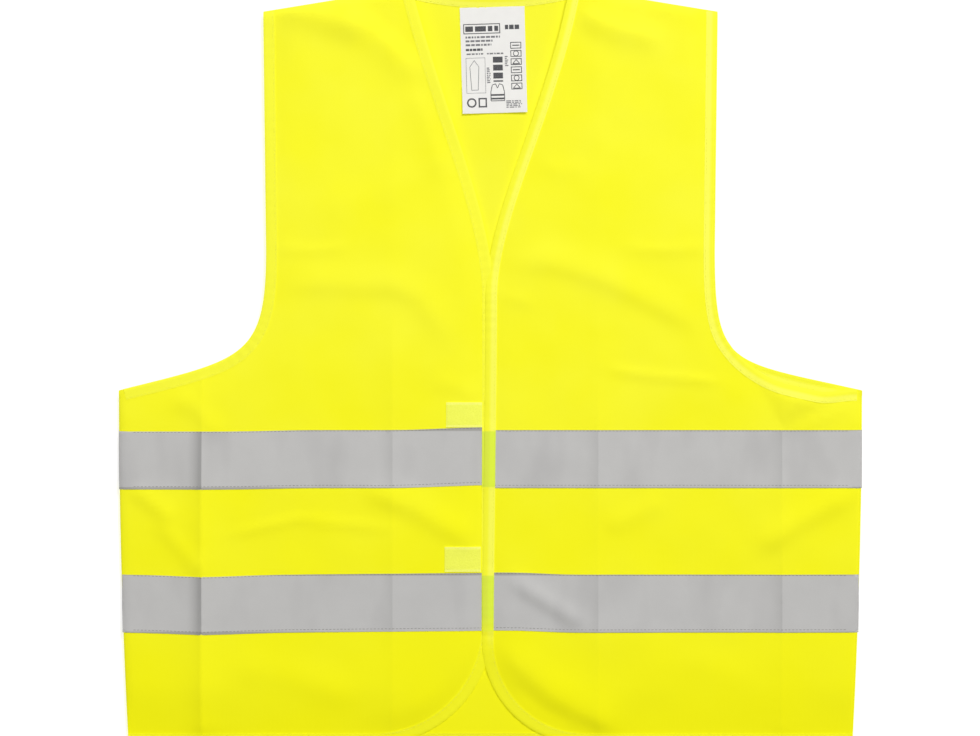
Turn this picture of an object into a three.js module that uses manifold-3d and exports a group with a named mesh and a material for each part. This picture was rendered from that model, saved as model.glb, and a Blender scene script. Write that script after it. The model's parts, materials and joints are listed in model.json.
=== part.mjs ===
// High visibility vest, laid flat on its back with both fronts closed.
// Millimetres. +X is the wearer's left, +Y points to the neck, +Z points up from the surface it lies on.
// The origin is at the bottom centre of the box around the vest.

import * as THREE from 'three';
import { mergeVertices } from 'three/addons/utils/BufferGeometryUtils.js';
import Module from 'manifold-3d';

const wasm = await Module();
wasm.setup();

// ---- Driving dimensions ----

const bodyLength = 656; // neck points to hem
const underarmWidth = 644; // the widest place, across the two underarm corners
const hemWidth = 627; // across the bottom hem
const shoulderWidth = 393; // across the two shoulder tips
const chestWidth = 388; // the narrowest place, between the two armholes
const neckWidth = 138; // across the two neck points
const shoulderDrop = 21; // shoulder tips below the neck points
const chestDrop = 228; // narrowest place below the neck points
const underarmDrop = 350; // underarm corners below the neck points
const backNeckDepth = 8; // dip of the back neck
const frontNeckDepth = 270; // neck points to the foot of the V
const partingShift = -2; // where the fronts meet, sideways from the middle
const cornerRadius = 94; // rounded lower front corners
const sideFullness = 4; // how far the side bows out between underarm and hem
const armholeHollowOut = 20; // corner that the armhole's curve cuts: out from the narrowest place
const armholeHollowUp = 27; // and up from the underarm corner
const neckBowIn = 0.34; // the V's first pull, inwards, as part of its width
const neckBowDown = 0.4; // and downwards, as part of its depth
const neckStraight = 0.28; // the V's last pull, straight up from its foot, as part of its depth

const fabricThickness = 1;
const bindingWidth = 9.5; // folded tape over every cut edge
const bindingThickness = 0.6; // each leg of that tape
const bindingWeb = 0.8; // the tape's fold, outside the fabric's edge
const bandWidth = 50; // reflective tape
const bandThickness = 0.6;
const upperBandRise = 222.5; // hem to the lower edge of the upper band
const lowerBandRise = 97.5; // hem to the lower edge of the lower band
const patchWidth = 31; // hook and loop fasteners
const patchHeight = 21.5;
const patchThickness = 0.9;
const patchRise = 2.5; // above the band it stands on
const labelWidth = 56;
const labelLength = 92;
const labelThickness = 0.6;
const labelShift = 2; // label's middle, sideways from the middle
const insideGap = 7; // between the back and the fronts
const seamWidth = 2.4; // gathered layers along the shoulder and side seams

const foldHemInset = 17.5; // where a front's fold line meets the hem, in from the side
const foldGap = 1.2; // between the two parts of a front, across its fold line
const partingGap = 0.6; // between the two closed fronts
const clearance = 0.3; // between pieces that lie on or against each other
const cutBeyond = 20; // how far a cutter reaches past what it cuts

// ---- Heights of the layers ----

const backBottom = bandThickness + clearance;
const backTop = backBottom + fabricThickness;
const backTrimTop = backTop + clearance + bindingThickness;
const frontBottom = backTop + insideGap;
const frontTop = frontBottom + fabricThickness;
const frontTrimBottom = frontBottom - clearance - bindingThickness;
const frontTrimTop = frontTop + clearance + Math.max(bindingThickness, bandThickness);
const allHeights = [-1, frontTrimTop + patchThickness + 1];

// ---- Places seen from above, for the wearer's left half ----

const hemY = -bodyLength / 2;
const neckPoint = new THREE.Vector2(neckWidth / 2, bodyLength / 2);
const shoulderTip = new THREE.Vector2(shoulderWidth / 2, neckPoint.y - shoulderDrop);
const chestPoint = new THREE.Vector2(chestWidth / 2, neckPoint.y - chestDrop);
const underarm = new THREE.Vector2(underarmWidth / 2, neckPoint.y - underarmDrop);
const hemCorner = new THREE.Vector2(hemWidth / 2, hemY);
const foldFoot = new THREE.Vector2(hemCorner.x - foldHemInset, hemY);
const upperBandY = hemY + upperBandRise;
const lowerBandY = hemY + lowerBandRise;
const sides = { left: 1, right: -1 };

// A piece is drawn for the wearer's left half and mirrored for the right one.
function onSide(side, points) {
  if (side > 0) return points;
  return points.map((point) => new THREE.Vector2(-point.x, point.y)).reverse();
}

// ---- Solids ----

function toSolid(geometry) {
  geometry.deleteAttribute('normal');
  geometry.deleteAttribute('uv');
  const merged = mergeVertices(geometry);
  const vertProperties = new Float32Array(merged.attributes.position.array);
  const triVerts = new Uint32Array(merged.index.array);
  return new wasm.Manifold(new wasm.Mesh({ numProp: 3, vertProperties, triVerts }));
}

function toGeometry(solid) {
  const mesh = solid.getMesh();
  const geometry = new THREE.BufferGeometry();
  geometry.setAttribute('position', new THREE.BufferAttribute(mesh.vertProperties, 3));
  geometry.setIndex(new THREE.BufferAttribute(mesh.triVerts, 1));
  return geometry;
}

// The prism over an outline, between two heights.
function prism(points, [low, high]) {
  const geometry = new THREE.ExtrudeGeometry(new THREE.Shape(points), {
    depth: high - low,
    bevelEnabled: false,
    curveSegments: 1,
  });
  geometry.translate(0, 0, low);
  return toSolid(geometry);
}

function rectangle(left, right, bottom, top) {
  return [[left, bottom], [right, bottom], [right, top], [left, top]]
    .map(([x, y]) => new THREE.Vector2(x, y));
}

// ---- Edges of the pattern pieces, each with the fabric on its left-hand side ----

function joinEdges(...edges) {
  return edges.flatMap((edge, index) => (index === 0 ? edge : edge.slice(1)));
}

function partingX(side) {
  return side * partingShift + partingGap / 2;
}

function shoulderEdge() {
  return [shoulderTip, neckPoint];
}

function armholeEdge() {
  const hollowY = underarm.y + armholeHollowUp;
  const curve = new THREE.CubicBezierCurve(
    underarm,
    new THREE.Vector2(chestPoint.x + armholeHollowOut, hollowY),
    new THREE.Vector2(chestPoint.x, hollowY),
    chestPoint,
  );
  return [...curve.getPoints(14), shoulderTip];
}

function sideEdge() {
  const middle = new THREE.Vector2((underarm.x + hemCorner.x) / 2 + sideFullness, (underarm.y + hemY) / 2);
  return new THREE.QuadraticBezierCurve(hemCorner, middle, underarm).getPoints(6);
}

function backNeckEdge() {
  const foot = new THREE.Vector2(0, neckPoint.y - 2 * backNeckDepth);
  const farPoint = new THREE.Vector2(-neckPoint.x, neckPoint.y);
  return new THREE.QuadraticBezierCurve(neckPoint, foot, farPoint).getPoints(8);
}

function backHemEdge() {
  return [new THREE.Vector2(-hemCorner.x, hemY), hemCorner];
}

// From the neck point down the V, down the front, round the corner and along the hem.
function frontEdge(side) {
  const x = partingX(side);
  const vFoot = new THREE.Vector2(x, neckPoint.y - frontNeckDepth);
  const bowX = neckPoint.x - (neckPoint.x - x) * neckBowIn;
  const neckline = new THREE.CubicBezierCurve(
    neckPoint,
    new THREE.Vector2(bowX, neckPoint.y - frontNeckDepth * neckBowDown),
    new THREE.Vector2(x, vFoot.y + frontNeckDepth * neckStraight),
    vFoot,
  );
  const corner = new THREE.Path();
  corner.absarc(x + cornerRadius, hemY + cornerRadius, cornerRadius, Math.PI, Math.PI * 1.5, false);
  return [...neckline.getPoints(14), ...corner.getPoints(12), hemCorner];
}

function backOutline() {
  const leftHalf = joinEdges(sideEdge(), armholeEdge(), shoulderEdge());
  const rightHalf = onSide(sides.right, leftHalf);
  return joinEdges(leftHalf, backNeckEdge(), rightHalf);
}

function frontOutline(side) {
  const loop = joinEdges(frontEdge(side), sideEdge(), armholeEdge(), shoulderEdge());
  return loop.slice(0, -1);
}

// Every point of an edge moved square to it, towards the fabric.
function inset(edge, distance) {
  return edge.map((point, index) => {
    const before = edge[Math.max(index - 1, 0)];
    const after = edge[Math.min(index + 1, edge.length - 1)];
    const into = point.clone().sub(before).normalize();
    const out = after.clone().sub(point).normalize();
    const along = into.add(out).normalize();
    const normal = new THREE.Vector2(-along.y, along.x);
    const square = new THREE.Vector2(-out.y, out.x);
    const stretch = index > 0 && index < edge.length - 1 ? 1 / normal.dot(square) : 1;
    return point.clone().addScaledVector(normal, distance * stretch);
  });
}

// An edge with a straight run added at both ends, for cutting right through.
function overrun(edge, length) {
  const last = edge.length - 1;
  const start = edge[0].clone().sub(edge[1]).setLength(length).add(edge[0]);
  const end = edge[last].clone().sub(edge[last - 1]).setLength(length).add(edge[last]);
  return [start, ...edge, end];
}

// The strip of a pattern piece between two distances in from an edge.
function ribbon(side, edge, near, far, heights) {
  const points = [...inset(edge, near), ...inset(edge, far).reverse()];
  return prism(onSide(side, points), heights);
}

// Everything within a distance of an edge, as a cutter.
function margin(side, edge, far) {
  return ribbon(side, overrun(edge, cutBeyond), -cutBeyond, far, allHeights);
}

// ---- Room that the seams take ----

// A side seam lies inside the reflective bands, which go round it.
const sideSeamInset = bandThickness + clearance;
const sideRoom = sideSeamInset + seamWidth + clearance;
const shoulderRoom = seamWidth + clearance;

function clearOfSeams(side, solid) {
  const shoulderCut = margin(side, shoulderEdge(), shoulderRoom);
  const sideCut = margin(side, sideEdge(), sideRoom);
  return solid.subtract(shoulderCut).subtract(sideCut);
}

// ---- Fold lines, where each front turns open ----

// The prism on one side of a front's fold line.
// Inside holds the part that turns, outside the part that stays.
function foldHalf(side, inside) {
  const reach = 2 * bodyLength;
  const along = foldFoot.clone().sub(neckPoint).normalize();
  const inward = new THREE.Vector2(along.y, -along.x);
  const way = inside ? 1 : -1;
  const start = neckPoint.clone().addScaledVector(inward, way * foldGap / 2).addScaledVector(along, -reach);
  const end = start.clone().addScaledVector(along, 2 * reach);
  const corners = [start, end].map((point) => point.clone().addScaledVector(inward, way * reach));
  const points = [start, end, corners[1], corners[0]];
  return prism(onSide(side, inside ? points.reverse() : points), allHeights);
}

// ---- Fabric pieces ----

function backPanel() {
  const slot = bindingWeb + clearance;
  let solid = prism(backOutline(), [backBottom, backTop]);
  solid = solid.subtract(margin(sides.left, backNeckEdge(), slot));
  solid = solid.subtract(margin(sides.left, backHemEdge(), slot));
  for (const side of Object.values(sides)) {
    solid = clearOfSeams(side, solid).subtract(margin(side, armholeEdge(), slot));
  }
  return solid;
}

function frontPanel(side) {
  const slot = bindingWeb + clearance;
  const solid = prism(onSide(side, frontOutline(side)), [frontBottom, frontTop])
    .subtract(margin(side, frontEdge(side), slot))
    .subtract(margin(side, armholeEdge(), slot));
  return clearOfSeams(side, solid);
}

function shoulderSeam(side) {
  return ribbon(side, shoulderEdge(), 0, seamWidth, [0, frontTrimTop]);
}

function sideSeam(side) {
  const strip = ribbon(side, overrun(sideEdge(), seamWidth), sideSeamInset, sideSeamInset + seamWidth,
    [backBottom, frontTop]);
  return strip.intersect(prism(backHalfOutline(side), allHeights));
}

function backHalfOutline(side) {
  const loop = joinEdges([new THREE.Vector2(0, hemY), hemCorner], sideEdge(), armholeEdge(), shoulderEdge(),
    [neckPoint, new THREE.Vector2(0, neckPoint.y)]);
  return onSide(side, loop);
}

// ---- Bindings: a folded tape with the fabric's edge inside its fold ----

function foldedTape(side, edge, low, fabricLow, fabricHigh, high) {
  const tape = ribbon(side, edge, 0, bindingWidth, [low, high]);
  const room = [fabricLow - clearance, fabricHigh + clearance];
  const throat = ribbon(side, overrun(edge, cutBeyond), bindingWeb, bindingWidth + cutBeyond, room);
  return tape.subtract(throat);
}

function backTape(side, edge) {
  return foldedTape(side, edge, 0, backBottom, backTop, backTrimTop);
}

function frontTape(side, edge) {
  return foldedTape(side, edge, frontTrimBottom, frontBottom, frontTop, frontTrimTop);
}

function backNeckBinding() {
  return backTape(sides.left, backNeckEdge())
    .subtract(margin(sides.left, shoulderEdge(), shoulderRoom))
    .subtract(margin(sides.right, shoulderEdge(), shoulderRoom));
}

function backHemBinding() {
  return backTape(sides.left, backHemEdge())
    .subtract(margin(sides.left, sideEdge(), sideRoom))
    .subtract(margin(sides.right, sideEdge(), sideRoom));
}

function armholeBinding(side, tapeOf) {
  return clearOfSeams(side, tapeOf(side, armholeEdge()));
}

// The tape down the V, the front and round the corner, as far as the fold line at the hem.
function frontEdgeBinding(side) {
  return clearOfSeams(side, frontTape(side, frontEdge(side))).intersect(foldHalf(side, true));
}

// The rest of the hem's tape, from the fold line to the side seam.
function frontHemBinding(side) {
  const hem = [new THREE.Vector2(partingX(side) + cornerRadius, hemY), hemCorner];
  return clearOfSeams(side, frontTape(side, hem)).intersect(foldHalf(side, false));
}

// ---- Reflective bands ----

// The tape goes across the back, up round both side seams and onto the fronts as far as their fold lines.
function wrappedBand(bottomY) {
  const strip = rectangle(-underarmWidth, underarmWidth, bottomY, bottomY + bandWidth);
  const frontLow = frontTrimTop - bandThickness;
  const across = prism(strip, [0, frontTrimTop]).intersect(prism(backOutline(), allHeights));
  let inside = prism(backOutline(), [bandThickness, frontLow]);
  let window = prism(backOutline(), [frontLow - clearance, frontTrimTop + clearance]);
  for (const side of Object.values(sides)) {
    inside = inside.subtract(margin(side, sideEdge(), bandThickness));
    window = window.subtract(foldHalf(side, false));
  }
  return across.subtract(inside).subtract(window);
}

function frontBand(side, bottomY) {
  const start = partingX(side) + bindingWidth + clearance;
  const strip = rectangle(start, underarmWidth, bottomY, bottomY + bandWidth);
  const heights = [frontTrimTop - bandThickness, frontTrimTop];
  return prism(onSide(side, strip), heights).intersect(foldHalf(side, true));
}

// ---- Fasteners and label ----

function patch(side, bandY, heights) {
  const start = partingX(side) + bindingWidth + clearance;
  const bottom = bandY + bandWidth + patchRise;
  return prism(onSide(side, rectangle(start, start + patchWidth, bottom, bottom + patchHeight)), heights);
}

function loopPatch(bandY) {
  const low = frontTop + clearance;
  return patch(sides.right, bandY, [low, low + patchThickness]);
}

function hookPatch(bandY) {
  const high = frontBottom - clearance;
  return patch(sides.left, bandY, [high - patchThickness, high]);
}

function careLabel() {
  const top = neckPoint.y - backNeckDepth - bindingWidth - clearance;
  const outline = rectangle(labelShift - labelWidth / 2, labelShift + labelWidth / 2, top - labelLength, top);
  return prism(outline, [backTop + clearance, backTop + clearance + labelThickness]);
}

// ---- Assembly ----

const vest = new THREE.Group();
vest.name = 'high_visibility_vest';

const finishes = {
  fabric: { color: '#f6f62c', roughness: 0.75 },
  binding: { color: '#f8f84a', roughness: 0.7 },
  reflective: { color: '#bebdba', roughness: 0.45 },
  fastener: { color: '#f4f864', roughness: 0.9 },
  label: { color: '#eeece8', roughness: 0.6 },
};

function addPiece(name, solid, finish) {
  const material = new THREE.MeshStandardMaterial({ ...finishes[finish], metalness: 0 });
  const mesh = new THREE.Mesh(toGeometry(solid), material);
  mesh.name = name;
  vest.add(mesh);
}

addPiece('back_panel', backPanel(), 'fabric');
addPiece('back_neck_binding', backNeckBinding(), 'binding');
addPiece('back_hem_binding', backHemBinding(), 'binding');
addPiece('upper_band', wrappedBand(upperBandY), 'reflective');
addPiece('lower_band', wrappedBand(lowerBandY), 'reflective');

for (const [word, side] of Object.entries(sides)) {
  const panel = frontPanel(side);
  addPiece(`${word}_front_side_panel`, panel.intersect(foldHalf(side, false)), 'fabric');
  addPiece(`${word}_front_panel`, panel.intersect(foldHalf(side, true)), 'fabric');
  addPiece(`${word}_front_hem_binding`, frontHemBinding(side), 'binding');
  addPiece(`${word}_front_edge_binding`, frontEdgeBinding(side), 'binding');
  addPiece(`${word}_armhole_back_binding`, armholeBinding(side, backTape), 'binding');
  addPiece(`${word}_armhole_front_binding`, armholeBinding(side, frontTape), 'binding');
  addPiece(`${word}_shoulder_seam`, shoulderSeam(side), 'fabric');
  addPiece(`${word}_side_seam`, sideSeam(side), 'fabric');
  addPiece(`${word}_front_upper_band`, frontBand(side, upperBandY), 'reflective');
  addPiece(`${word}_front_lower_band`, frontBand(side, lowerBandY), 'reflective');
}

addPiece('upper_loop_patch', loopPatch(upperBandY), 'fastener');
addPiece('lower_loop_patch', loopPatch(lowerBandY), 'fastener');
addPiece('upper_hook_patch', hookPatch(upperBandY), 'fastener');
addPiece('lower_hook_patch', hookPatch(lowerBandY), 'fastener');
addPiece('care_label', careLabel(), 'label');

export default vest;
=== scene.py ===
import json
import math
import random

import bpy
import numpy as np
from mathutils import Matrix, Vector, noise
from mathutils.geometry import delaunay_2d_cdt
from mathutils.kdtree import KDTree


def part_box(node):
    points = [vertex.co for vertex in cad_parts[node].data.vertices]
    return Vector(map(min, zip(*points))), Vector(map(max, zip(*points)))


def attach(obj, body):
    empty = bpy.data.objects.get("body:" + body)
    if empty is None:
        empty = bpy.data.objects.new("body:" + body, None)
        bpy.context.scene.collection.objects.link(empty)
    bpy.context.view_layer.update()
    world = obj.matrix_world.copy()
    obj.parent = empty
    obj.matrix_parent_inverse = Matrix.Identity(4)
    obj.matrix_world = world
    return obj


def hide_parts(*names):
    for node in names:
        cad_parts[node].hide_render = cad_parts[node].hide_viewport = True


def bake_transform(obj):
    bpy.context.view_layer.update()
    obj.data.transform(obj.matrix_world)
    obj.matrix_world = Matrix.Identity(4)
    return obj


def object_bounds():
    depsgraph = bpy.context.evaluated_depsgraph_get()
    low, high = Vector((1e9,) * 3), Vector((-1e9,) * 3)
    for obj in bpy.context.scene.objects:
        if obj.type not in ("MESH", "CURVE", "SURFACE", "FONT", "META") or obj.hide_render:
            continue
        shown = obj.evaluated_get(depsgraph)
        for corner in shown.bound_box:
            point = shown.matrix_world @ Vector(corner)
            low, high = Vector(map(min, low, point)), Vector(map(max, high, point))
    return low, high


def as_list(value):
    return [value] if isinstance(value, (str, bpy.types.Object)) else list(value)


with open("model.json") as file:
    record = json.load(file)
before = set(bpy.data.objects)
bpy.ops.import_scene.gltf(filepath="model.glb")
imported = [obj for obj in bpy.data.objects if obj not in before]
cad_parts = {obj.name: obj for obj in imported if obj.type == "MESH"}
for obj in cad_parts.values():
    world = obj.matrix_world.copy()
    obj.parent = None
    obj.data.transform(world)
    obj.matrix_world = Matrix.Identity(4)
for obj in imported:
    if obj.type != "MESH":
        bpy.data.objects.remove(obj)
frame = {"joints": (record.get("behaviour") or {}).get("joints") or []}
cad_low, cad_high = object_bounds()

# ---- Back panel ----
# One piece of thin fluorescent warp knit, cut with both armholes and a shallow neck. It lies on the floor
# outside down, so what shows of it is its inside at the neck and between the rounded front corners.

MM = 0.001
LEFT, RIGHT = 1, -1  # the wearer's left is towards +X
WORD = {LEFT: "left", RIGHT: "right"}
CLOTH = 0.35 * MM  # thickness of the knit
CELL = 4.5 * MM  # mesh spacing on the flat of a panel
BACK_REST = 2.0 * MM  # how high the middle of the back's cloth lies
FOLD_HEIGHT = 4.4 * MM  # where back and front meet at the side and shoulder seams
SIDE_ROLL = 8 * MM  # how far in from a seam the cloth takes to level out
PACKING_CREASES = [-0.250, -0.085, 0.093, 0.252]  # upright creases from the folded packet

hem_y, neck_y = cad_low[1], cad_high[1]
shoulder_low, shoulder_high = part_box("left_shoulder_seam")
side_low, side_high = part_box("left_side_seam")
armhole_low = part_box("left_armhole_front_binding")[0]
TAPE_WIDTH = 9.5 * MM  # folded binding, seen from one side
SEAM_BAR = 2.4 * MM  # depth of the gathered shoulder seam
SIDE_ROOM = 3.3 * MM  # from the side edge to the inner face of the seam
CHEST_DROP = 228 * MM  # from the top down to where the armhole is cut in furthest
ARMHOLE_HOLLOW = {LEFT: 19 * MM, RIGHT: 27 * MM}  # how far above the underarm the armhole turns upward
ARMHOLE_REACH = {LEFT: 12 * MM, RIGHT: 20 * MM}  # how sharply it turns there: a smaller value is sharper
ARMHOLE_PULL = {LEFT: 7 * MM, RIGHT: 0}  # how far the left underarm's cloth has been pulled up
SIDE_BULGE = 4 * MM  # how far each side bows outward
NECK_DIP = 8 * MM  # how far the back neck is cut below the shoulders
CURVE_SHARE = 0.75  # a curve reaches this share of the depth of its two middle points
BACK_WAVE = 0.5 * MM  # height of the soft waves in the back
BACK_CREASE = 0.5 * MM  # height of the packing creases in the back
BACK_CREASE_WIDTH = 4 * MM
EDGE_GAP = 0.3 * MM  # mesh points keep this far from an edge
POINT_GAP = 2.2 * MM  # and points of the grid this far from edges and rows
CREASE_STEPS = (-3.5, -1.5, 0, 1.5, 3.5)  # rows of mesh points beside a crease, in millimetres
neck_point = np.array([shoulder_low[0], neck_y])
shoulder_tip = np.array([shoulder_high[0], shoulder_low[1] + SEAM_BAR])
underarm = np.array([cad_high[0], side_high[1]])
hem_corner = np.array([side_low[0] + SIDE_ROOM, hem_y])
chest_point = np.array([armhole_low[0] + TAPE_WIDTH, neck_y - CHEST_DROP])


def bezier(a, b, c, d, step=3 * MM):
    """Points along a cubic curve, about a step apart."""
    a, b, c, d = (np.asarray(p, float) for p in (a, b, c, d))
    count = max(3, round((np.linalg.norm(b - a) + np.linalg.norm(c - b) + np.linalg.norm(d - c)) / step))
    t = np.linspace(0, 1, count + 1)[:, None]
    s = 1 - t
    return s**3 * a + 3 * s * s * t * b + 3 * s * t * t * c + t**3 * d


def straight(a, b, step=3 * MM):
    """Points along a line, about a step apart."""
    a, b = np.asarray(a, float), np.asarray(b, float)
    count = max(1, round(np.linalg.norm(b - a) / step))
    return a + (b - a) * np.linspace(0, 1, count + 1)[:, None]


def join(*edges):
    """Edges that follow each other, as one."""
    return np.vstack([edges[0]] + [edge[1:] for edge in edges[1:]])


def normals_of(edge):
    """The direction square to the edge at each point, to its left-hand side."""
    along = np.gradient(edge, axis=0)
    along /= np.linalg.norm(along, axis=1)[:, None]
    return np.stack([-along[:, 1], along[:, 0]], 1)


def inset(edge, distance):
    """An edge moved square to itself, towards its left-hand side."""
    return edge + normals_of(edge) * np.reshape(distance, (-1, 1))


def mirrored(edge):
    """An edge of the wearer's right half, from one of the left half."""
    return (edge * [-1, 1])[::-1]


def shoulder_edge():
    return straight(shoulder_tip, neck_point)


def armhole_edge(side):
    """From the underarm to the shoulder. The left side has been pulled a little tighter than the right."""
    hollow = underarm[1] + ARMHOLE_HOLLOW[side]
    reach = chest_point[0] + ARMHOLE_REACH[side]
    curve = bezier(underarm, (reach, hollow + ARMHOLE_PULL[side]), (chest_point[0], hollow), chest_point)
    return join(curve, straight(chest_point, shoulder_tip))


def side_edge():
    middle = (underarm + hem_corner) / 2 + [SIDE_BULGE, 0]
    thirds = (hem_corner + 2 * middle) / 3, (underarm + 2 * middle) / 3
    return bezier(hem_corner, *thirds, underarm)


def back_neck_edge():
    dip = neck_y - NECK_DIP / CURVE_SHARE
    return bezier(neck_point, (neck_point[0] / 3, dip), (-neck_point[0] / 3, dip), neck_point * [-1, 1])


def run_of(path):
    """How far along a path each of its points is."""
    return np.concatenate([[0], np.cumsum(np.linalg.norm(np.diff(path, axis=0), axis=1))])


def distance_to(points, edge):
    """How far each point is from an edge."""
    best = np.full(len(points), np.inf)
    for a, b in zip(edge[:-1], edge[1:]):
        along = b - a
        t = np.clip((points - a) @ along / (along @ along), 0, 1)
        best = np.minimum(best, np.linalg.norm(points - a - t[:, None] * along, axis=1))
    return best


def roll(distance, radius):
    """The rise of cloth over a rounded fold: 0 at the fold, 1 past the radius."""
    return np.sqrt(1 - (1 - np.clip(distance / radius, 0, 1)) ** 2)


def ease(t):
    t = np.clip(t, 0, 1)
    return t * t * (3 - 2 * t)


def ripple(points, size, seed):
    """Soft uneven waves, from -1 to 1, about a size across."""
    return np.array([noise.noise(Vector((x / size, y / size, seed))) for x, y in points])


def seam_roll(points):
    """The rise away from the four seams where front and back are joined."""
    folded = np.stack([np.abs(points[:, 0]), points[:, 1]], 1)
    side = roll(distance_to(folded, side_edge()[::4]), SIDE_ROLL)
    return side * roll(distance_to(folded, np.array([shoulder_tip, neck_point])), SIDE_ROLL)


def crease(points, x, width):
    """An upright pressed crease, 1 along its sharp middle and fading to both sides."""
    return np.exp(-np.abs(points[:, 0] - x) / width)


def back_height(points):
    """The height of the middle of the back's cloth."""
    flat = BACK_REST + BACK_WAVE * ripple(points, 70 * MM, 3.1)
    for x in PACKING_CREASES:
        flat += BACK_CREASE * crease(points, -x, BACK_CREASE_WIDTH)
    return FOLD_HEIGHT + (flat - FOLD_HEIGHT) * seam_roll(points)


def inside_of(points, outline):
    """Which points lie inside a closed outline."""
    inside = np.zeros(len(points), bool)
    for a, b in zip(outline, np.roll(outline, -1, axis=0)):
        between = (a[1] > points[:, 1]) != (b[1] > points[:, 1])
        with np.errstate(divide="ignore", invalid="ignore"):
            cross = a[0] + (points[:, 1] - a[1]) * (b[0] - a[0]) / (b[1] - a[1])
        inside ^= between & (points[:, 0] < cross)
    return inside


def tree_of(points):
    tree = KDTree(len(points))
    for index, (x, y) in enumerate(points):
        tree.insert((x, y, 0), index)
    tree.balance()
    return tree


def cut_cloth(outline, rows, cell=CELL):
    """Points and triangles that fill an outline: a grid, finer along the given rows of points."""
    rows = np.vstack(rows)
    rows = rows[inside_of(rows, outline)]
    low, high = outline.min(0), outline.max(0)
    xs = np.arange(low[0] + cell / 2, high[0], cell)
    ys = np.arange(low[1] + cell / 2, high[1], cell)
    grid = np.stack(np.meshgrid(xs, ys), -1).reshape(-1, 2)
    grid = grid[inside_of(grid, outline)]
    edge_tree = tree_of(outline)
    kept = []
    tree = tree_of(rows)
    for point in rows:
        if edge_tree.find((*point, 0))[2] > EDGE_GAP:
            kept.append(point)
    for point in grid:
        near_edge = edge_tree.find((*point, 0))[2] < POINT_GAP
        if not near_edge and tree.find((*point, 0))[2] > POINT_GAP:
            kept.append(point)
    points = np.vstack([outline, kept])
    loop = [list(range(len(outline)))]
    found = delaunay_2d_cdt([Vector(p) for p in points], [], loop, 1, 1e-7)
    return np.array([tuple(p) for p in found[0]]), np.array(found[2])


def surface_normals(points, triangles):
    """The unit normal of a surface at each of its points."""
    a, b, c = (points[triangles[:, i]] for i in range(3))
    face = np.cross(b - a, c - a)
    normal = np.zeros_like(points)
    for i in range(3):
        np.add.at(normal, triangles[:, i], face)
    return normal / np.linalg.norm(normal, axis=1)[:, None]


def rim_of(triangles):
    """The edges of a surface that only one of its faces uses, in that face's direction."""
    edges = np.vstack([triangles[:, [0, 1]], triangles[:, [1, 2]], triangles[:, [2, 0]]])
    known = {(a, b) for a, b in edges.tolist()}
    return [(a, b) for a, b in known if (b, a) not in known]


def make_object(name, verts, faces, material, maps, sharp=50):
    """A smooth-shaded mesh object. maps gives each vertex's place in a named map, in metres."""
    mesh = bpy.data.meshes.new(name)
    mesh.from_pydata(np.asarray(verts).tolist(), [], faces)
    corner = np.zeros(len(mesh.loops), int)
    mesh.loops.foreach_get("vertex_index", corner)
    for map_name, values in maps.items():
        layer = mesh.uv_layers.new(name=map_name)
        layer.uv.foreach_set("vector", np.asarray(values, np.float32)[corner].ravel())
    mesh.shade_smooth()
    mesh.set_sharp_from_angle(angle=math.radians(sharp))
    mesh.materials.append(material)
    piece = bpy.data.objects.new(name, mesh)
    bpy.context.collection.objects.link(piece)
    return piece


def thin_solid(name, points, triangles, height, offset, thickness, material, maps=None):
    """A sheet of some thickness whose middle lies an offset above a height function, along its normal."""
    middle = np.column_stack([points, height(points)])
    normal = surface_normals(middle, triangles)
    upper = middle + normal * (offset + thickness / 2)
    lower = middle + normal * (offset - thickness / 2)
    count = len(points)
    rim = [(b, a, a + count, b + count) for a, b in rim_of(triangles)]
    faces = triangles.tolist() + (triangles[:, ::-1] + count).tolist() + rim
    maps = maps or {"flat": points, "place": points}
    doubled = {key: np.vstack([value, value]) for key, value in maps.items()}
    return make_object(name, np.vstack([upper, lower]), faces, material, doubled)


def new_group(name, inputs, outputs):
    """A shader node group with named sockets, and its input and output nodes."""
    group = bpy.data.node_groups.new(name, "ShaderNodeTree")
    for label, kind, value in inputs:
        socket = group.interface.new_socket(label, in_out="INPUT", socket_type=kind)
        if value is not None:
            socket.default_value = value
    for label in outputs:
        group.interface.new_socket(label, in_out="OUTPUT", socket_type="NodeSocketFloat")
    start = group.nodes.new("NodeGroupInput")
    end = group.nodes.new("NodeGroupOutput")
    return group, start, end


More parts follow.
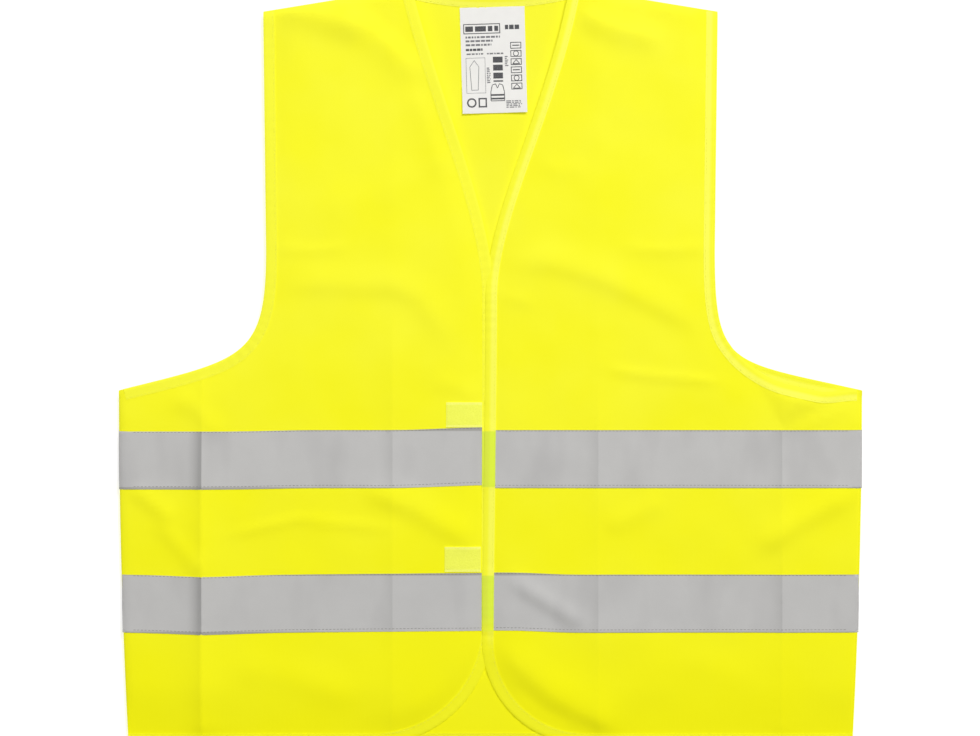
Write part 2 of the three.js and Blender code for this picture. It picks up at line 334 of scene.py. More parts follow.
class Nodes:
    """Adds nodes to a node tree: any node, or one of the kinds that are used most."""

    def __init__(self, tree):
        self.tree = tree

    def add(self, kind, links=(), **settings):
        """A node with its settings. links gives its inputs: each a socket of another node, or a value."""
        node = self.tree.nodes.new(kind)
        for key, value in settings.items():
            setattr(node, key, value)
        for socket, source in dict(links).items():
            if isinstance(source, bpy.types.NodeSocket):
                self.tree.links.new(source, node.inputs[socket])
            else:
                node.inputs[socket].default_value = source
        return node

    def maths(self, operation, *values):
        return self.add("ShaderNodeMath", dict(enumerate(values)), operation=operation).outputs[0]

    def weighted(self, *parts):
        """The sum of some values, each given with its weight."""
        first, *others = [self.maths("MULTIPLY", value, weight) for value, weight in parts]
        for other in others:
            first = self.maths("ADD", first, other)
        return first

    def span(self, value, low, high, start=0.0, end=1.0):
        """start where a value is low, end where it is high, and in proportion between the two."""
        links = {"Value": value, "From Min": low, "From Max": high, "To Min": start, "To Max": end}
        return self.add("ShaderNodeMapRange", links).outputs[0]

    def mix(self, factor, first, second):
        """A colour between two others, each of them a socket or its red, green and blue."""
        a, b = (c if isinstance(c, bpy.types.NodeSocket) else (*c, 1) for c in (first, second))
        links = {"Factor": factor, "A": a, "B": b}
        return self.add("ShaderNodeMix", links, data_type="RGBA").outputs["Result"]

    def noise(self, where, scale, detail, **inputs):
        """Soft cloudy noise, from 0 to 1."""
        links = {"Vector": where, "Scale": scale, "Detail": detail, **inputs}
        return self.add("ShaderNodeTexNoise", links).outputs[0]

    def waves(self, where, scale, distortion, direction="X", **inputs):
        """Even bands, from 0 to 1."""
        links = {"Vector": where, "Scale": scale, "Distortion": distortion, **inputs}
        return self.add("ShaderNodeTexWave", links, bands_direction=direction).outputs[1]

    def part(self, vector, axis):
        """One coordinate of a vector: 0 is x and 1 is y."""
        return self.add("ShaderNodeSeparateXYZ", {0: vector}).outputs[axis]


class Paint(Nodes):
    """A new material and its nodes. where is each point's place in the mesh's flat map."""

    def __init__(self, name, roughness, specular):
        self.material = bpy.data.materials.new(name)
        self.material.use_nodes = True
        super().__init__(self.material.node_tree)
        self.shader = self.tree.nodes["Principled BSDF"]
        self.set("Roughness", roughness)
        self.set("Specular IOR Level", specular)
        self.where = self.add("ShaderNodeUVMap", uv_map="flat").outputs[0]

    def set(self, label, value):
        self.shader.inputs[label].default_value = value

    def link(self, source, label):
        self.tree.links.new(source, self.shader.inputs[label])

    def bump(self, height, strength, depth):
        node = self.add("ShaderNodeBump", {"Height": height, "Strength": strength, "Distance": depth})
        self.link(node.outputs[0], "Normal")

    # Emission: an even brightness on the floor, and painted light on the cloth and tapes, which are no lamps.
    def glow(self, colour, strength):
        self.set("Emission Color", (*colour, 1))
        self.set("Emission Strength", strength)


def knit_group():
    """Upright ribs of small loops. Tone and Height are greatest on a rib's crown and least in its grooves."""
    inputs = [("Map", "NodeSocketVector", None), ("Rib", "NodeSocketFloat", 1.1 * MM)]
    group, start, end = new_group("knit", inputs, ["Tone", "Height"])
    nodes = Nodes(group)
    place = start.outputs["Map"]
    across = nodes.maths("DIVIDE", nodes.part(place, 0), start.outputs["Rib"])
    along = nodes.maths("DIVIDE", nodes.part(place, 1), start.outputs["Rib"])
    rib = nodes.maths("COSINE", nodes.maths("MULTIPLY", across, 2 * math.pi))
    lean = nodes.maths("MULTIPLY", rib, 0.9)
    loops = nodes.maths("COSINE", nodes.maths("ADD", nodes.maths("MULTIPLY", along, 2.6 * math.pi), lean))
    height = nodes.weighted((rib, 0.3), (loops, 0.15), (nodes.noise(place, 1800.0, 2.0), 0.3))
    tone = nodes.maths("ADD", nodes.maths("MULTIPLY", height, 0.5), 0.5)
    group.links.new(tone, end.inputs["Tone"])
    group.links.new(height, end.inputs["Height"])
    return group


def mottle_group():
    """Large soft patches, a little lighter or darker: partly the dye's uneven tone, partly painted shade of
    the way the cloth hangs.
    """
    inputs = [("Map", "NodeSocketVector", None), ("Size", "NodeSocketFloat", 0.08)]
    group, start, end = new_group("mottle", inputs, ["Tone"])
    nodes = Nodes(group)
    scale = nodes.maths("DIVIDE", 1.0, start.outputs["Size"])
    cloud = nodes.noise(start.outputs["Map"], scale, 3.0)
    group.links.new(nodes.span(cloud, 0.3, 0.7), end.inputs["Tone"])
    return group


KNIT = knit_group()
MOTTLE = mottle_group()
MOTTLE_SIZE = 0.09  # metres across
SHADE_TOP = 0.1  # painted shade: the cloth is painted deeper in colour from here down to the hem
# Painted glow of the knit: its emission lifts the cloth's shade and keeps it saturated.
KNIT_PAINTED_GLOW = (0.985, 0.995, 0.004)


def knit_material(name, colour, shade, hem_shade):
    """Fluorescent knit: ribbed, softly mottled, painted deeper towards the hem as shade, and with a painted
    glow that lifts its shade.
    """
    paint = Paint(name, 0.8, 0.1)
    knit = paint.add("ShaderNodeGroup", {"Map": paint.where}, node_tree=KNIT)
    mottle = paint.add("ShaderNodeGroup", {"Map": paint.where, "Size": MOTTLE_SIZE}, node_tree=MOTTLE)
    tone = paint.weighted((knit.outputs["Tone"], 0.35), (mottle.outputs["Tone"], 0.65))
    # Painted shade: lower down the colour deepens, most of all at the hem.
    low = paint.span(paint.part(paint.where, 1), hem_y, SHADE_TOP, 0.9, 0.0)
    paint.link(paint.mix(low, paint.mix(tone, shade, colour), hem_shade), "Base Color")
    paint.bump(knit.outputs["Height"], 0.25, 0.12 * MM)
    # Painted glow: emission that lifts the knit's shade, though the cloth is no lamp.
    paint.glow(KNIT_PAINTED_GLOW, 0.2)
    return paint.material


inner_knit = knit_material("fluorescent_knit_inside", (0.765, 0.75, 0.046), (0.74, 0.715, 0.018),
                           (0.765, 0.735, 0.003))
knit_cloth = knit_material("fluorescent_knit", (0.79, 0.772, 0.042), (0.77, 0.742, 0.010),
                           (0.77, 0.738, 0.001))

outline = join(side_edge(), armhole_edge(LEFT), shoulder_edge(), back_neck_edge(), mirrored(shoulder_edge()))
outline = join(outline, mirrored(armhole_edge(RIGHT)), mirrored(side_edge()))
outline = join(outline, straight(hem_corner * [-1, 1], hem_corner, 4 * MM))[:-1]
SEAM_ROWS = [0.5 * MM, 1.4 * MM, 2.8 * MM, 4.8 * MM, 7.5 * MM]  # rows of mesh points inside each seam
seam_rows = [inset(edge, d) for edge in (side_edge(), shoulder_edge()) for d in SEAM_ROWS]
rows = seam_rows + [mirrored(row) for row in seam_rows]
rows += [straight((-x + shift * MM, hem_y), (-x + shift * MM, neck_y), 4 * MM)
         for x in PACKING_CREASES for shift in CREASE_STEPS]
points, triangles = cut_cloth(outline, rows)
back_cloth = thin_solid("back_cloth", points, triangles, back_height, 0, CLOTH, inner_knit)
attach(back_cloth, "root")
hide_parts("back_panel")


# ---- Right and left front panels ----
# Two pieces of the same knit. Each one runs from the shoulder seam down the V of the neck and round a large
# corner into the hem. They lie loose and wrinkled on the back, and the left one laps a little over the right.

FRONT_REST = 7.2 * MM  # how high the middle of a front's cloth lies
CORNER_REST = 2.95 * MM  # how high it lies at the lower corner's edge
ARMHOLE_REST = 6.3 * MM
HEM_REST = {LEFT: 4.5 * MM, RIGHT: 3.7 * MM}
V_EDGE_REST = {LEFT: 4.5 * MM, RIGHT: 5.0 * MM}  # along the front edge above the lower corner
NECK_LIFT = {LEFT: 2.8 * MM, RIGHT: 4.3 * MM}  # the V stands this much higher beside the neck
SHOULDER_RISE = 3.0 * MM  # the doubled seam holds the shoulders up
SHOULDER_REACH = 50 * MM
FRONT_WAVES = [(1.0 * MM, 80 * MM, 8.4), (0.48 * MM, 30 * MM, 2.7)]  # height, size and seed of its soft waves
EDGE_WAVE, EDGE_WAVE_SIZE, EDGE_WAVE_SEED = 0.25 * MM, 40 * MM, 5.2
FOLD_FADE = 26 * MM  # folds die out this near the front edge
HELD_FADE = 18 * MM  # and shrink to a quarter this near the armhole and the hem
HELD_SHARE = 0.25
FACET_FADE = 14 * MM  # facets shrink to a third this near the armhole
LOW_SHARE = 0.35  # what is left of a facet or a crease where it is weakest
TIP_SHARE = 0.12  # what is left of a fold at its tips
EDGE_FALL = 28 * MM  # over this distance the cloth comes down to its edges
HEM_FALL = 55 * MM
LAP_RISE = 1.9 * MM  # the left front is this much higher where it lies over the right one
V_FOOT = 133.6 * MM  # where the neck's slope has become upright
FRONT_EDGE = {LEFT: -3.9 * MM, RIGHT: -2.4 * MM}  # each front's edge from the middle, towards its own side
LOW_EDGE = {LEFT: -6.8 * MM, RIGHT: -1.9 * MM}  # the same, where the lower corner starts
NECK_BOW = {LEFT: 0.27, RIGHT: 0.38}  # the bow of the V's slope, as a share of the neck's half width
CORNER_RADIUS = {LEFT: 90 * MM, RIGHT: 104 * MM}
NECK_LIMIT = 220 * MM  # the slope of the V bows towards this height
V_END = 58 * MM  # where the curve of the V ends in the upright edge
DOWN_HANDLE = 60 * MM  # how gently the upright edge turns into the lower corner
CORNER_STEP = 1.9 * MM
SLIP = 9.0 * MM  # how far the left front's edge has slipped in at the underarm
SLIP_RISE, SLIP_END, SLIP_FALL = 38 * MM, 125 * MM, 60 * MM  # where along the armhole the slip grows and ends
FOLD_TOP = np.array([neck_point[0], neck_y])
FOLD_UP = np.array([-0.32702, 0.94502])  # the direction of the left front's fold line
FOLD_LENGTH = 0.70
FOLD_PAST = 0.01  # how far its rows of mesh points run past the neck
BEND = 8  # half the width of the soft bend over the fold line, in millimetres


def front_edge(side):
    """From the neck point down the V, down the middle and round the lower corner to the hem."""
    x, low_x, radius = FRONT_EDGE[side], LOW_EDGE[side], CORNER_RADIUS[side]
    hollow = neck_point[0] - (neck_point[0] - x) * NECK_BOW[side]
    v = bezier(neck_point, (hollow, NECK_LIMIT), (x, V_FOOT), (x, V_END))
    angles = np.linspace(math.pi, 1.5 * math.pi, round(radius / CORNER_STEP))[:, None]
    centre = np.array([low_x + radius, hem_y + radius])
    round_corner = centre + radius * np.hstack([np.cos(angles), np.sin(angles)])
    handle = [0, DOWN_HANDLE]
    down = bezier(v[-1], v[-1] - handle, round_corner[0] + handle, round_corner[0])
    return join(v, down, round_corner)


def front_edge_x(side, y):
    """Where a front's edge is at some height, below the V."""
    edge = front_edge(side)[::-1]
    return float(np.interp(y, edge[:, 1], edge[:, 0]))


def front_hem(side):
    return straight(front_edge(side)[-1], hem_corner)


def front_armhole(side):
    """The left front has slipped down at the underarm, so that its edge lies inside the back's."""
    edge = armhole_edge(side)
    if side == RIGHT:
        return edge
    along = run_of(edge)
    return inset(edge, SLIP * ease(along / SLIP_RISE) * ease((SLIP_END - along) / SLIP_FALL))


def fold(points, path, rise, left, right, tips=0.22):
    """A soft ridge along a path of points, with its own width on each side, fading out at its tips."""
    path = np.asarray(path, float) * MM
    best = np.full(len(points), np.inf)
    side_of, where = np.zeros(len(points)), np.zeros(len(points))
    lengths = np.linalg.norm(np.diff(path, axis=0), axis=1)
    run = 0
    for a, b, length in zip(path[:-1], path[1:], lengths):
        along = (b - a) / length
        t = np.clip((points - a) @ along, 0, length)
        gap = points - a - t[:, None] * along
        distance = np.linalg.norm(gap, axis=1)
        closer = distance < best
        best = np.where(closer, distance, best)
        side_of = np.where(closer, along[0] * gap[:, 1] - along[1] * gap[:, 0], side_of)
        where = np.where(closer, (run + t) / lengths.sum(), where)
        run += length
    width = np.where(side_of > 0, left, right) * MM
    ends = ease(where / tips) * ease((1 - where) / tips)
    ends = TIP_SHARE * (where > 0) * (where < 1) + (1 - TIP_SHARE) * ends
    return rise * MM * np.exp(-(best / width) ** 2) * ends


def facet(points, corners, rise):
    """A three-cornered facet: highest half way between its first two corners, level along its other edges."""
    a, b, c = (np.array(corner) * MM for corner in corners)
    whole = (b[0] - a[0]) * (c[1] - a[1]) - (c[0] - a[0]) * (b[1] - a[1])
    share_b = ((points[:, 0] - a[0]) * (c[1] - a[1]) - (c[0] - a[0]) * (points[:, 1] - a[1])) / whole
    share_c = ((b[0] - a[0]) * (points[:, 1] - a[1]) - (points[:, 0] - a[0]) * (b[1] - a[1])) / whole
    share_a = 1 - share_b - share_c
    inner = np.clip(np.minimum(share_a, share_b), 0, 1) * ease((share_c + 0.35) / 0.35)
    return rise * MM * inner


# Each packing crease in the fronts: its place, its height in millimetres, and a height in the vest, also in
# millimetres, below which it grows from a third of its height to the whole.
CREASE_RISE = [(-0.250, 4.4, -40), (-0.085, 1.3, 60), (0.093, 1.2, 0), (0.252, 1.5, -60)]
# Each facet: three corners in millimetres, and its height.
LEFT_FRONT_FACETS = [([(230, -14), (308, -29), (254, -54)], 14.0)]
# Each fold: the path of its crest in millimetres, its height, and its width to the left and right of it.
RIGHT_FRONT_FOLDS = [
    ([(-70, 246), (-50, 206), (-36, 160)], 1.4, 8, 14),
    ([(-140, 318), (-100, 286), (-52, 246)], 3.0, 9, 16),
    ([(-182, 312), (-146, 301), (-104, 288)], 2.4, 9, 12),
    ([(-186, 70), (-130, 71), (-82, 69), (-60, 58), (-46, 36), (-30, 16)], 1.8, 16, 9),
    ([(-52, -12), (-30, -18), (-4, -30)], 0.9, 8, 7),
    ([(-276, -24), (-254, -38), (-232, -62)], 1.6, 10, 8),
    ([(-312, -104), (-292, -120), (-272, -136)], 2.0, 9, 6),
    ([(-290, -132), (-268, -158), (-248, -182)], 1.5, 8, 6),
    ([(-236, -148), (-165, -132), (-78, -142)], 1.2, 4, 4),
    ([(-116, -104), (-65, -124), (-8, -158)], 2.3, 14, 8),
    ([(-190, 103), (-156, 101), (-120, 103)], 0.9, 4, 6),
    ([(-230, -262), (-170, -268), (-110, -290)], 1.1, 16, 12),
    ([(-60, 180), (-90, 150), (-150, 130)], 0.7, 20, 14),
]
LEFT_FRONT_FOLDS = [
    ([(70, 308), (108, 292), (152, 282)], 2.6, 8, 12),
    ([(44, 176), (60, 168), (84, 172)], 0.7, 8, 7),
    ([(6, 88), (51, 90), (95, 77), (147, 52), (188, 30)], 2.0, 16, 9),
    ([(4, 60), (20, 58), (38, 54)], 0.7, 6, 5),
    ([(94, -2), (138, -8), (204, -14)], 1.2, 4, 4),
    ([(228, -162), (262, -138), (318, -108)], 2.3, 12, 8),
    ([(12, -242), (30, -262), (56, -284), (82, -299), (118, -318)], 2.7, 18, 10),
    ([(20, -276), (44, -297), (72, -312)], -1.3, 8, 8),
    ([(14, -182), (48, -204), (84, -226)], 2.2, 9, 7),
    ([(98, -141), (124, -130), (152, -116)], 1.2, 9, 7),
    ([(112, 103), (152, 101), (194, 104)], 0.9, 4, 6),
    ([(250, -58), (282, -46), (316, -30)], 1.1, 5, 6),
    ([(120, -262), (180, -258), (240, -276)], 0.5, 14, 12),
]
FOLDS = {LEFT: LEFT_FRONT_FOLDS, RIGHT: RIGHT_FRONT_FOLDS}
FACETS = {LEFT: LEFT_FRONT_FACETS, RIGHT: []}


def front_height(points, side):
    """The height of the middle of one front's cloth, with its folds, creases and lowered edges.

    Its edges come down to their own heights, and the left front rises where it laps over the right one.
    """
    own = points * [side, 1]
    z = np.full(len(points), FRONT_REST)
    for rise, size, seed in FRONT_WAVES:
        z += rise * ripple(points, size, seed)
    z += SHOULDER_RISE * np.exp(-distance_to(own, np.array([shoulder_tip, neck_point])) / SHOULDER_REACH)
    raised = ease((points[:, 1] + 290 * MM) / (120 * MM))
    lifted = NECK_LIFT[side] * ease((points[:, 1] - 150 * MM) / (130 * MM))
    to_armhole = distance_to(own, front_armhole(side)[::3])
    to_hem = distance_to(own, front_hem(side)[::6])
    to_front_edge = distance_to(own, front_edge(side)[::3])
    for distance, rest, fall in (
        (to_armhole, ARMHOLE_REST, EDGE_FALL),
        (to_hem, HEM_REST[side], HEM_FALL),
        (to_front_edge, CORNER_REST + (V_EDGE_REST[side] - CORNER_REST) * raised + lifted, EDGE_FALL),
    ):
        near = 1 - ease(distance / fall)
        z += (rest + EDGE_WAVE * ripple(points, EDGE_WAVE_SIZE, EDGE_WAVE_SEED) - z) * near
    folds = np.zeros(len(points))
    for path, rise, left, right in FOLDS[side]:
        folds += fold(points, path, rise, left, right)
    for x, rise, below in CREASE_RISE:
        width = np.where(points[:, 0] < x, 10 * MM, 14 * MM)
        lower = LOW_SHARE + (1 - LOW_SHARE) * ease((below * MM - points[:, 1]) / (60 * MM))
        folds += rise * MM * crease(points, x, width) * lower
    held = HELD_SHARE + (1 - HELD_SHARE) * ease(np.minimum(to_armhole, to_hem) / HELD_FADE)
    z += folds * ease(to_front_edge / FOLD_FADE) * held
    for corners, rise in FACETS[side]:
        z += facet(points, corners, rise) * (LOW_SHARE + (1 - LOW_SHARE) * ease(to_armhole / FACET_FADE))
    if side == LEFT:
        lap = 1 - ease((points[:, 0] + 5 * MM) / (30 * MM))
        lap *= ease((points[:, 1] + 275 * MM) / (35 * MM))
        z += LAP_RISE * lap * ease((90 * MM - points[:, 1]) / (30 * MM))
    return FOLD_HEIGHT + (z - FOLD_HEIGHT) * seam_roll(points)


class Front:
    """One front: its side, its outline towards +X, and its surface."""

    def __init__(self, side):
        self.side = side
        outline = join(side_edge(), front_armhole(side), shoulder_edge(), front_edge(side), front_hem(side))
        self.outline = outline[:-1]

    def height(self, points):
        return front_height(points, self.side)

    def turn(self, points, triangles):
        """Points and triangles drawn towards +X, on this front's own side."""
        if self.side == LEFT:
            return points, triangles
        return points * [-1, 1], triangles[:, ::-1]


def fold_rows(side, low, high):
    """Rows of points along the line that a front turns about, and along the packing creases."""
    inward = np.array([-FOLD_UP[1], FOLD_UP[0]])
    line = straight(FOLD_TOP - FOLD_UP * FOLD_LENGTH, FOLD_TOP + FOLD_UP * FOLD_PAST, 4 * MM)
    rows = [line + inward * shift * MM for shift in range(-BEND, BEND + 1, 2)]
    for x in PACKING_CREASES:
        for shift in (-4, -1.7, 0, 1.7, 4):
            rows.append(straight((side * x + shift * MM, low), (side * x + shift * MM, high), 4 * MM))
    return rows


def turn_between(piece, side):
    """Looks up the fold joint of that side's front, then bakes the piece's place into its mesh."""
    hinge = next(joint for joint in frame["joints"] if joint["name"] == WORD[side] + "_front_fold")
    down = Vector(hinge["axis"]) * -side
    middle = Vector(hinge["pos_m"]) + down * (neck_y - hem_y) / 2
    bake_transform(piece)


fronts = {LEFT: Front(LEFT), RIGHT: Front(RIGHT)}
for side, front in fronts.items():
    word = WORD[side]
    rows = seam_rows + fold_rows(side, hem_y, neck_y)
    points, triangles = front.turn(*cut_cloth(front.outline, rows))
    cloth = thin_solid(word + "_front_cloth", points, triangles, front.height, 0, CLOTH, knit_cloth)
    turn_between(cloth, side)
    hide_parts(word + "_front_panel", word + "_front_side_panel")


# ---- Shoulder and side seams ----
# The fronts are joined to the back at the shoulders and down the sides. The allowances are turned inside,
# oversewn together with yellow thread, and show only where a front is opened.

ALLOWANCE = 7.5 * MM
TAPE_WAVE = 0.13 * MM  # how unevenly a sewn strip lies
TAPE_WAVE_LENGTH = 8 * MM
THREAD = 0.17 * MM  # half the thickness of the sewing thread
STITCH_FILL = 0.72  # how much of its pitch each stitch covers
ZIGZAG = 1.1 * MM


def swept(name, path, section, height, material, over=None):
    """A strip swept along a path. section is a closed outline of (distance in from the edge, height)."""
    section = np.asarray(section, float) * MM
    out = normals_of(path)
    run = run_of(path)
    count, round_count = len(path), len(section)
    across = path[:, None, :] + out[:, None, :] * section[None, :, 0, None]
    place = across.reshape(-1, 2)
    wave = TAPE_WAVE * np.sin(run / TAPE_WAVE_LENGTH * 2 * math.pi + np.sin(run * 91) * 1.5)
    level = height(place).reshape(count, round_count)
    z = level + section[None, :, 1] + wave[:, None] * (section[None, :, 1] > 0)
    if over is not None:
        z += over(place).reshape(count, round_count) * (section[None, :, 1] > 0)
    verts = np.column_stack([place, z.ravel()])
    faces = []
    for i in range(count - 1):
        for j in range(round_count):
            k = (j + 1) % round_count
            faces.append((i * round_count + j, (i + 1) * round_count + j,
                          (i + 1) * round_count + k, i * round_count + k))
    faces.append(tuple(range(round_count)))
    faces.append(tuple(reversed(range((count - 1) * round_count, count * round_count))))
    strip = np.column_stack([np.repeat(run, round_count), np.tile(section[:, 0], count)])
    return make_object(name, verts, faces, material, {"flat": strip, "place": place})


def thread_material(name, colour, shade):
    """Twisted sewing thread, with its two plies showing as fine slanting bands."""
    paint = Paint(name, 0.55, 0.4)
    twist = paint.waves(paint.where, 900.0, 0.6, "DIAGONAL")
    paint.link(paint.mix(twist, shade, colour), "Base Color")
    paint.bump(twist, 0.3, 0.05 * MM)
    return paint.material


def tube_faces(first, rings, sides):
    """The faces of a closed tube whose vertices start at first and follow ring by ring."""
    faces = []
    for j in range(rings - 1):
        for k in range(sides):
            a = first + j * sides + k
            b = first + j * sides + (k + 1) % sides
            faces.append((a, b, b + sides, a + sides))
    start = tuple(first + k for k in reversed(range(sides)))
    end = tuple(first + (rings - 1) * sides + k for k in range(sides))
    return faces + [start, end]


def point_at(path, run, at):
    """The points of a path at some distances along it."""
    return np.column_stack([np.interp(at, run, path[:, 0]), np.interp(at, run, path[:, 1])])


def stitches(name, path, pitch, height, lift, material):
    """A row of stitches along a path: short lengths of thread that rise from the cloth and dip into it."""
    run = run_of(path)
    starts = np.arange(pitch / 2, run[-1] - pitch / 2, pitch)
    steps = np.array([-0.5, -0.28, 0.28, 0.5]) * pitch * STITCH_FILL
    sizes = np.array([0.45, 1, 1, 0.45]) * THREAD
    dips = np.array([-0.9, 0, 0, -0.9]) * THREAD
    at = (starts[:, None] + steps).ravel()
    where = point_at(path, run, at)
    along = point_at(path, run, at + 0.2 * MM) - point_at(path, run, at - 0.2 * MM)
    along /= np.linalg.norm(along, axis=1)[:, None]
    beside = np.column_stack([-along[:, 1], along[:, 0]])
    level = height(where) + lift + np.tile(dips, len(starts))
    size = np.tile(sizes, len(starts))
    ring = [(1, 0), (0, 1), (-1, 0), (0, -1)]
    verts = np.zeros((len(at), len(ring), 3))
    for k, (u, v) in enumerate(ring):
        verts[:, k, :2] = where + beside * (u * size)[:, None]
        verts[:, k, 2] = level + v * size
    faces = []
    for i in range(len(starts)):
        faces += tube_faces(i * len(steps) * len(ring), len(steps), len(ring))
    maps = np.column_stack([np.repeat(at, 4), np.tile(np.arange(4) * 0.2 * MM, len(at))])
    place = np.repeat(where, 4, axis=0)
    return make_object(name, verts.reshape(-1, 3), faces, material, {"flat": maps, "place": place}, sharp=80)


yellow_thread = thread_material("yellow_thread", (0.95, 0.95, 0.09), (0.88, 0.88, 0.05))
deep = ALLOWANCE / MM
seam_section = [(0.5, -0.42), (deep, -0.36), (deep + 0.2, 0), (deep, 0.36), (0.5, 0.42)]
seam_pieces = []


def inside_level(points):
    """Half way between the back and the front, where the seam allowances lie."""
    side = LEFT if points[:, 0].mean() > 0 else RIGHT
    return (back_height(points) + front_height(points, side)) / 2


for side in (LEFT, RIGHT):
    for word, edge in (("side", side_edge()), ("shoulder", straight(shoulder_tip, neck_point))):
        name = f"{WORD[side]}_{word}"
        path = inset(edge, 1.6 * MM)[1:-1] * [side, 1]
        section = [(d * side, h) for d, h in seam_section]
        allowance = swept(name + "_allowance", path, section, inside_level, knit_cloth)
        inner = inset(edge, ALLOWANCE)[1:-1]
        zigzag = inset(inner, ZIGZAG * np.where(np.arange(len(inner)) % 2, 1, -1)) * [side, 1]
        oversewing = stitches(name + "_oversewing", zigzag, 3 * MM, inside_level, 0.5 * MM, yellow_thread)
        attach(allowance, "root")
        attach(oversewing, "root")
        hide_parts(name + "_seam")
        seam_pieces += [allowance, oversewing]


# ---- Edge bindings ----
# Knitted yellow tape, folded in half over every raw edge and sewn through with one row of stitches near its
# inner edge. It is paler than the cloth, and its outer half along the fold is painted deeper as shade of the
# rounded edge.

TAPE = 0.3 * MM
STITCH_PITCH = 3.2 * MM
STITCH_INSET = 1.5 * MM  # the stitches run this far from the tape's inner edge
STITCH_LIFT = 0.34 * MM


def binding_material(name, bright, blue):
    """Binding tape: fine cross ribs, a pale inner half, a deeper outer half painted as shade of its rounded
    fold, greenish over the grey bands, painted shade low down, and a painted glow. bright and blue make lit
    and shaded copies.
    """
    paint = Paint(name, 0.7, 0.2)
    place = paint.add("ShaderNodeUVMap", uv_map="place").outputs[0]
    x, y = paint.part(place, 0), paint.part(place, 1)
    across = paint.span(paint.part(paint.where, 1), 3.2 * MM, 5.6 * MM)
    # Painted shade: the outer half, along the rounded fold, is deeper in colour.
    outer = (0.79 * bright, 0.778 * bright, 0.022 * blue)
    pale = paint.mix(across, outer, (0.83 * bright, 0.823 * bright, 0.088 * blue))
    ribs = paint.waves(paint.where, 260.0, 1.2, Detail=1.0)
    tone = paint.weighted((ribs, 0.5), (paint.noise(paint.where, 700.0, 3.0), 0.5))
    shaded = paint.mix(paint.maths("MULTIPLY", tone, 0.3), pale, (0.75 * bright, 0.74 * bright, 0.03))
    over_band = 0.0
    for low, high in band_rows:
        middle, half = (low + high) / 2, (high - low) / 2
        away = paint.maths("ABSOLUTE", paint.maths("SUBTRACT", y, middle))
        this_band = paint.span(away, half - 1.5 * MM, half - 0.2 * MM, 1.0, 0.0)
        over_band = paint.maths("ADD", over_band, this_band)
    central = paint.span(paint.maths("ABSOLUTE", x), 18 * MM, 20 * MM, 1.0, 0.0)
    greens = paint.mix(across, (0.50, 0.64, 0.06), (0.54, 0.74, 0.04))
    share = paint.maths("MULTIPLY", paint.maths("MULTIPLY", over_band, central), 0.8)
    # Painted shade: below the lower band the tape is painted deeper in colour.
    low_shade_share = paint.span(y, -215 * MM, -245 * MM, 0.0, 0.95)
    low_shade = (0.79 * bright, 0.775 * bright, 0.008)
    paint.link(paint.mix(low_shade_share, paint.mix(share, shaded, greens), low_shade), "Base Color")
    paint.bump(tone, 0.35, 0.12 * MM)
    # Painted glow: emission that lifts the tape's shade, though the tape is no lamp.
    paint.glow((0.98, 1.0, 0.02), 0.17 * bright)
    return paint.material


upper_low, upper_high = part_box("upper_band")
lower_low, lower_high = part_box("lower_band")
band_rows = [(upper_low[1], upper_high[1]), (lower_low[1], lower_high[1])]
# Lit and shaded copies of one tape: the right side's copy is paler as painted light, and the back's copy is
# darker as painted shade.
binding_tape = binding_material("edge_binding", 1.02, 1.2)
right_binding_painted_light = binding_material("edge_binding_right_painted_light", 1.02, 1.6)
inner_binding_painted_shade = binding_material("edge_binding_inside_painted_shade", 0.94, 1.0)
cloth_half = CLOTH / MM / 2 + 0.06  # half the cloth and a little room, in millimetres
WIDE = TAPE_WIDTH / MM
BAND_RISE = 0.48 * MM  # how much higher the binding is over the end of a band
binding_section = [
    (WIDE, cloth_half), (0.9, cloth_half), (0.3, 0), (0.9, -cloth_half), (WIDE, -cloth_half),
    (WIDE + 0.05, -cloth_half - 0.28), (5, -cloth_half - 0.36), (0.5, -cloth_half - 0.36), (-0.25, -0.3),
    (-0.25, 0.3), (0.5, cloth_half + 0.38), (2.5, cloth_half + 0.5), (5, cloth_half + 0.42),
    (WIDE - 1.6, cloth_half + 0.3), (WIDE + 0.05, cloth_half + 0.3),
][::-1]


def over_bands(points):
    """The rise of the binding where it passes over the end of a band."""
    rise = np.zeros(len(points))
    for low, high in band_rows:
        y = points[:, 1]
        rise += ease((y - low + 1.5 * MM) / (2 * MM)) * ease((high + 4.5 * MM - y) / (2 * MM))
    return rise * BAND_RISE


def bind(name, edge, height, flip, nodes, side=None):
    """Binds an edge and sews the binding down. Where a side is given, the binding rises over the band ends
    and its pieces stay unattached, their place baked into their meshes.
    """
    section = [(-d, h) for d, h in binding_section][::-1] if flip else binding_section
    path = edge * [-1, 1] if flip else edge
    over = over_bands if side else None
    # Painted light on the right side's tapes, and painted shade on the back's.
    material = right_binding_painted_light if flip else binding_tape
    if height is back_height:
        material = inner_binding_painted_shade
    tape = swept(name, path, section, height, material, over)
    seam = inset(edge, TAPE_WIDTH - STITCH_INSET)
    seam = seam * [-1, 1] if flip else seam
    lift = cloth_half * MM + STITCH_LIFT
    upper = stitches(name + "_stitches", seam, STITCH_PITCH, height, lift, yellow_thread)
    for piece in (tape, upper):
        if side is None:
            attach(piece, "root")
        else:
            turn_between(piece, side)
    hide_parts(*nodes)


